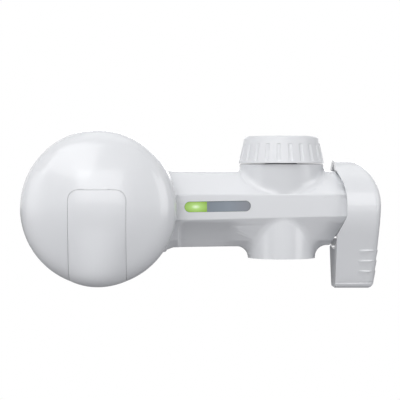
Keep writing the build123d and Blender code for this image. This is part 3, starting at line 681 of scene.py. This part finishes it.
# %% Wind the thread
pitch = 25.4 / 27
bore_r = 11.9
turns = 7
bpy.ops.object.select_all(action="DESELECT")
bpy.ops.mesh.primitive_circle_add(vertices=4, radius=0.36 * mm, fill_type="NGON", location=(0, 0, 0))
thread = bpy.context.object
thread.name = "collar_thread"
bpy.ops.object.mode_set(mode="EDIT")
bpy.ops.mesh.select_all(action="SELECT")
bpy.ops.transform.rotate(value=math.radians(90), orient_axis="X", center_override=(0, 0, 0))
bpy.ops.transform.translate(value=((bore_r - 0.06) * mm, 0, -3.1 * mm))
bpy.ops.object.mode_set(mode="OBJECT")
winding = {"screw_offset": pitch * mm, "iterations": turns - 1, "steps": 64, "render_steps": 64}
apply(thread, "SCREW", axis="Z", angle=2 * math.pi, **winding)
done(thread, 40)
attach(thread, "collar")
collar_white.put_on(thread)
print("thread:", len(thread.data.polygons), "faces")

# %% [markdown]
# ## Soft skins for what shows
# The lever and the arm already have their wide rounds in the solid, and get none here. The rest gets
# narrow bevels. On the tongue and the cover they make the fine seam between the two, which catches
# the light on one side and lies in shade on the other.

# %% Make and dress the skins
bevels = {
    "filter_cover": 0.12,
    "mounting_collar": 0.2,
    "filter_housing": 0.0,
    "arm_back_cover": 0.1,
    "rim_gasket": 0.2,
    "outlet_nozzle": 0.3,
    "outlet_insert": 0.1,
    "green_lens": 0.2,
    "indicator_window": 0.2,
}
skins = {name: skin_of(name) for name in bevels}
skins.update(turning)
skins.update({"handle": lever_skin, "arm_shell": arm_skin, "cover_panel": tongue})
bevels.update({"handle_cap": 0.3, "handle_screw": 0.1, "diverter_spool": 0.0})
bevels.update({"handle": 0.0, "arm_shell": 0.0, "cover_panel": 0.16})
for name, piece in skins.items():
    softened(piece, bevels[name])
    by_slot[slot_of[name]].put_on(piece)
    print(name, "triangles", sum(len(face.vertices) - 2 for face in piece.data.polygons))

# %% [markdown]
# ## The studio
# A white piece on white needs soft, uneven light, or it has no form. A pale floor lies well below the
# part. To the camera it turns to plain white with distance, but the part's shadow stays on it. The
# surround is white to the camera and to reflections, and lights the part only weakly.

# %% The floor
bpy.ops.object.select_all(action="DESELECT")
bpy.ops.mesh.primitive_plane_add(size=8, location=(0, 1.5, -0.19))
floor = bpy.context.object
floor.name = "studio_floor"
bpy.ops.object.transform_apply(location=True)
pale = Finish("pale_floor", Roughness=0.9)
pale.give("Base Color", pale.mix(pale.noise(3), (0.30, 0.30, 0.31), (0.32, 0.32, 0.33)))
seen = Number(pale, pale.node("ShaderNodeLightPath").outputs["Is Camera Ray"])
bright = pale.node("ShaderNodeEmission", {}, {"Color": (1, 1, 1, 1), "Strength": 1.0})
far = (pale.x * pale.x + pale.y * pale.y) ** 0.5
fade = {"Value": far, "From Min": 0.15, "From Max": 0.36, "To Min": 0.7}
whiter = Number(pale, pale.node("ShaderNodeMapRange", {}, fade).outputs[0])
blend = pale.node("ShaderNodeMixShader", {}, {0: seen * whiter})
pale.tree.links.new(pale.shader.outputs[0], blend.inputs[1])
pale.tree.links.new(bright.outputs[0], blend.inputs[2])
pale.tree.links.new(blend.outputs[0], pale.tree.nodes["Material Output"].inputs["Surface"])
pale.put_on(floor)
print("floor at", round(floor.data.vertices[0].co.z, 2), "m")

# %% The white surround
world = bpy.data.worlds.new("studio")
bpy.context.scene.world = world
world.use_nodes = True
sky = world.node_tree
rays = sky.nodes.new("ShaderNodeLightPath")
around = sky.nodes["Background"]
around.inputs["Color"].default_value = (0.93, 0.95, 1.0, 1)
around.inputs["Strength"].default_value = 0.2
backdrop = sky.nodes.new("ShaderNodeBackground")
backdrop.inputs["Color"].default_value = (1, 1, 1, 1)
either = sky.nodes.new("ShaderNodeMath")
either.operation = "MAXIMUM"
choose = sky.nodes.new("ShaderNodeMixShader")
sky.links.new(rays.outputs["Is Camera Ray"], either.inputs[0])
sky.links.new(rays.outputs["Is Glossy Ray"], either.inputs[1])
sky.links.new(either.outputs[0], choose.inputs[0])
sky.links.new(around.outputs[0], choose.inputs[1])
sky.links.new(backdrop.outputs[0], choose.inputs[2])
sky.links.new(choose.outputs[0], sky.nodes["World Output"].inputs["Surface"])
print("nodes in the surround:", len(sky.nodes))

# %% [markdown]
# ## The lamps
# Five broad soft lamps light the front: the strongest two from the upper left and from straight
# ahead, weaker ones from both sides and from above. A sixth, behind the part, keeps its back from
# going grey. Area lamps are used because their soft squares are what polished plastic reflects.


# %% Soft lamps
def softbox(name, place, width, height, power, aim=(-0.03, 0, -0.03)):
    """A rectangular area lamp that points at a spot, which is the middle of the part's front."""
    lamp_data = bpy.data.lights.new(name, "AREA")
    lamp_data.shape = "RECTANGLE"
    lamp_data.size = width
    lamp_data.size_y = height
    lamp_data.energy = power
    box = bpy.data.objects.new(name, lamp_data)
    box.location = place
    box.rotation_euler = (Vector(aim) - Vector(place)).to_track_quat("-Z", "Y").to_euler()
    bpy.context.scene.collection.objects.link(box)


softbox("key_upper_left", (-0.55, -0.75, 0.75), 0.9, 0.7, 5.0)
softbox("front", (-0.1, -1.6, 0.5), 1.2, 0.9, 8.2)
softbox("left", (-1.1, -0.5, 0.1), 0.7, 0.9, 3.0)
softbox("right", (1.0, -0.6, 0.15), 0.6, 0.8, 3.7)
softbox("top", (0.0, 0.1, 1.1), 0.9, 0.9, 2.0)
softbox("behind", (0.2, 1.3, 0.45), 1.0, 0.8, 7.0, aim=(-0.03, 0.05, -0.03))
print("lamps:", [lamp_data.name for lamp_data in bpy.data.lights])

# %% [markdown]
# ## The camera
# The part is seen from straight ahead with a long lens, level, from just above the arm's axis.
# The lens's middle lies to the left of the picture's middle, so the frame is shifted, not turned.

# %% Camera
view = bpy.data.cameras.new("front_view")
view.lens = 126
view.sensor_width = 36
view.shift_x = 28.7 / 400
view.shift_y = -27 / 400
view.clip_start = 0.05
view.clip_end = 50
camera = bpy.data.objects.new("front_view", view)
camera.location = (-55 * mm, -700 * mm, -14.55 * mm)
camera.rotation_euler = (math.radians(90), 0, 0)
bpy.context.scene.collection.objects.link(camera)
bpy.context.scene.camera = camera
bpy.context.scene.view_settings.view_transform = "Standard"
print("camera's lens:", view.lens, "mm")
